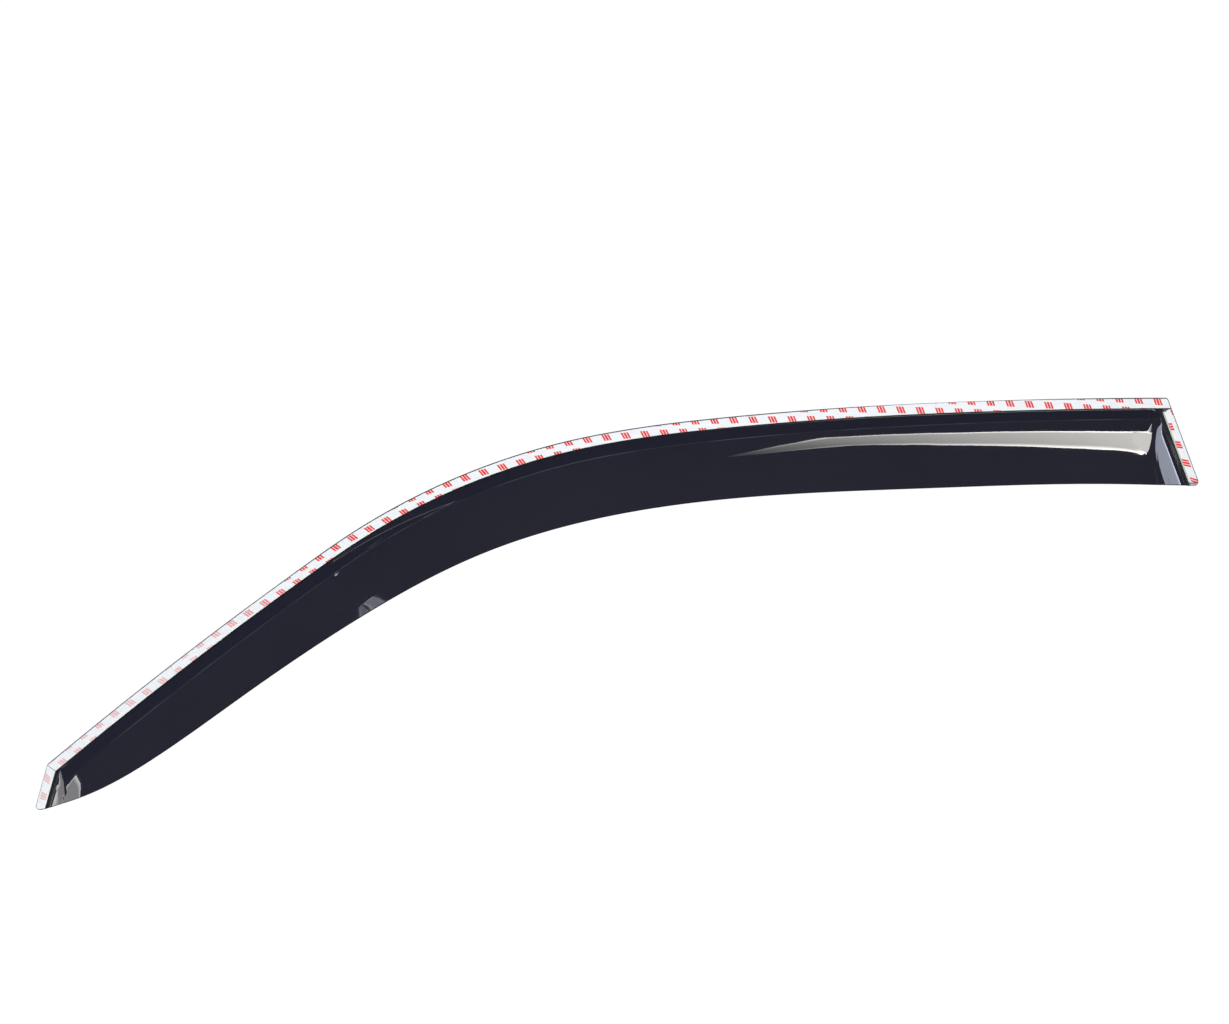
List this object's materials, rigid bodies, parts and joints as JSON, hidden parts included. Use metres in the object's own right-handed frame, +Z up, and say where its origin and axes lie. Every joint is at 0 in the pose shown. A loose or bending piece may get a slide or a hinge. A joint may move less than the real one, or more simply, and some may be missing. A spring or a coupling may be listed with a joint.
{
  "type": "window rain deflector",
  "caption": "Long arched smoke-tinted visor that sticks over a car's front door window: a taped flat flange round a bulging web that sheds rain and lets air out.",
  "frame": {"origin": "on the bonding face of the top strip, at the middle of its width and close to the middle of its length", "axes": "+X towards the rear of the car, +Z up, -Y towards the door frame that it sticks to, so the web bulges to +Y"},
  "size_m": [1.0009, 0.022, 0.3549],
  "materials": {
    "smoke_acrylic": "polished, dark smoke tint",
    "foam_tape": "matt closed-cell foam",
    "release_liner": "smooth coated film with red marks"
  },
  "bodies": {
    "root": {"visor_shell": "smoke_acrylic", "tape_top": "foam_tape", "tape_front": "foam_tape", "tape_rear": "foam_tape", "liner_top": "release_liner", "liner_front": "release_liner", "liner_rear": "release_liner"}
  },
  "joints": []
}
